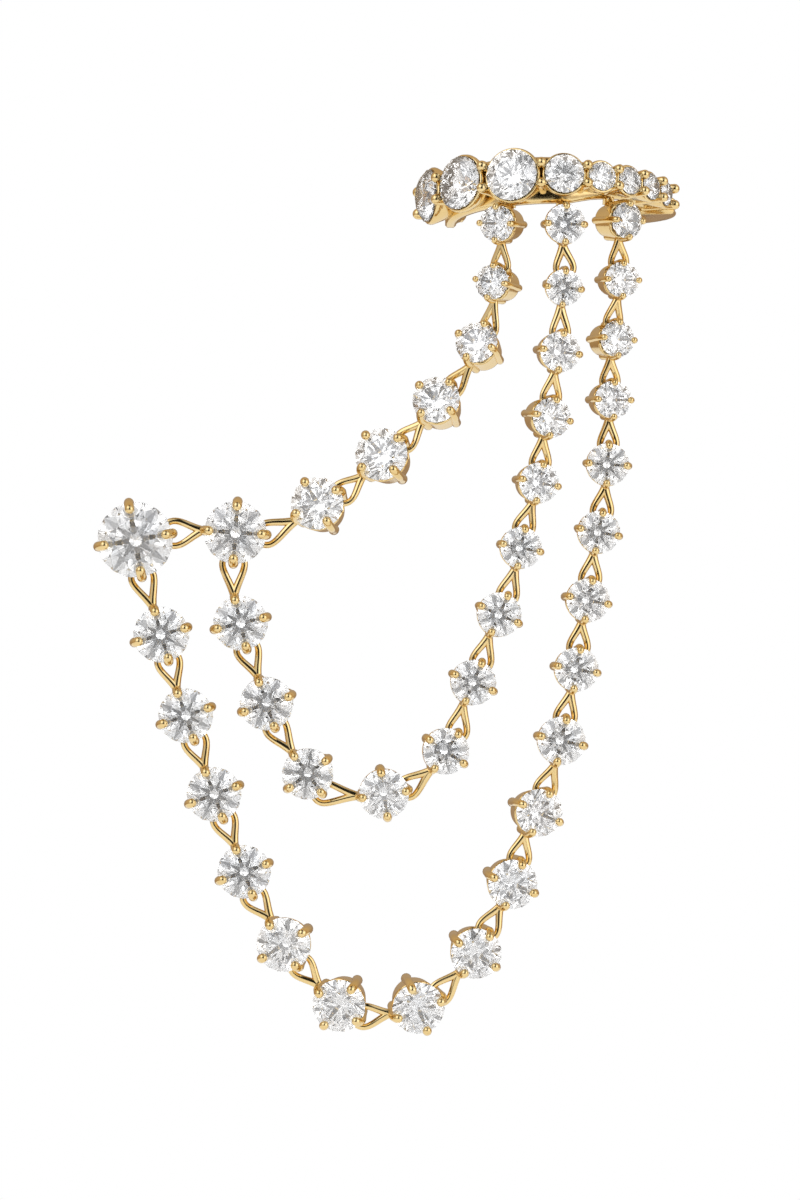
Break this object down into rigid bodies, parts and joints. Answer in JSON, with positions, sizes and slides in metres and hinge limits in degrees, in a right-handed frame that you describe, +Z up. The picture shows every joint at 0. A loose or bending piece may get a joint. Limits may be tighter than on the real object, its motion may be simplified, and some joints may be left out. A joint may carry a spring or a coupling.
{
  "type": "ear chain earring",
  "caption": "Earring with an open ear cuff set with a row of round stones, from which strands of claw-set stones hang to stone studs on posts.",
  "frame": {"origin": "point on the first stud's post axis, level with the feet of its claws, where the post enters the lobe", "axes": "+Z up as worn, +Y along the posts from the stones to the free ends, +X from the first stud towards the ear cuff"},
  "size_m": [0.0295, 0.0131, 0.0445],
  "materials": {
    "gold": "polished yellow gold",
    "diamond": "cut and polished"
  },
  "bodies": {
    "root": {"ear_cuff": "gold", "cuff_stones": "diamond", "upper_link_1": "gold", "upper_link_2": "gold", "upper_link_3": "gold", "upper_link_4": "gold", "upper_link_5": "gold", "middle_link_1": "gold", "middle_link_2": "gold", "middle_link_3": "gold", "middle_link_4": "gold", "middle_link_5": "gold", "middle_link_6": "gold", "middle_link_7": "gold", "middle_link_8": "gold", "middle_link_9": "gold", "middle_link_10": "gold", "middle_link_11": "gold", "middle_link_12": "gold", "outer_link_1": "gold", "outer_link_2": "gold", "outer_link_3": "gold", "outer_link_4": "gold", "outer_link_5": "gold", "outer_link_6": "gold", "outer_link_7": "gold", "outer_link_8": "gold", "outer_link_9": "gold", "outer_link_10": "gold", "outer_link_11": "gold", "outer_link_12": "gold", "outer_link_13": "gold", "outer_link_14": "gold", "outer_link_15": "gold", "outer_link_16": "gold", "outer_link_17": "gold", "outer_link_18": "gold", "upper_stones": "diamond", "middle_stones": "diamond", "outer_stones": "diamond", "first_stud": "gold", "first_stud_stone": "diamond", "second_stud": "gold", "second_stud_stone": "diamond"}
  },
  "joints": []
}
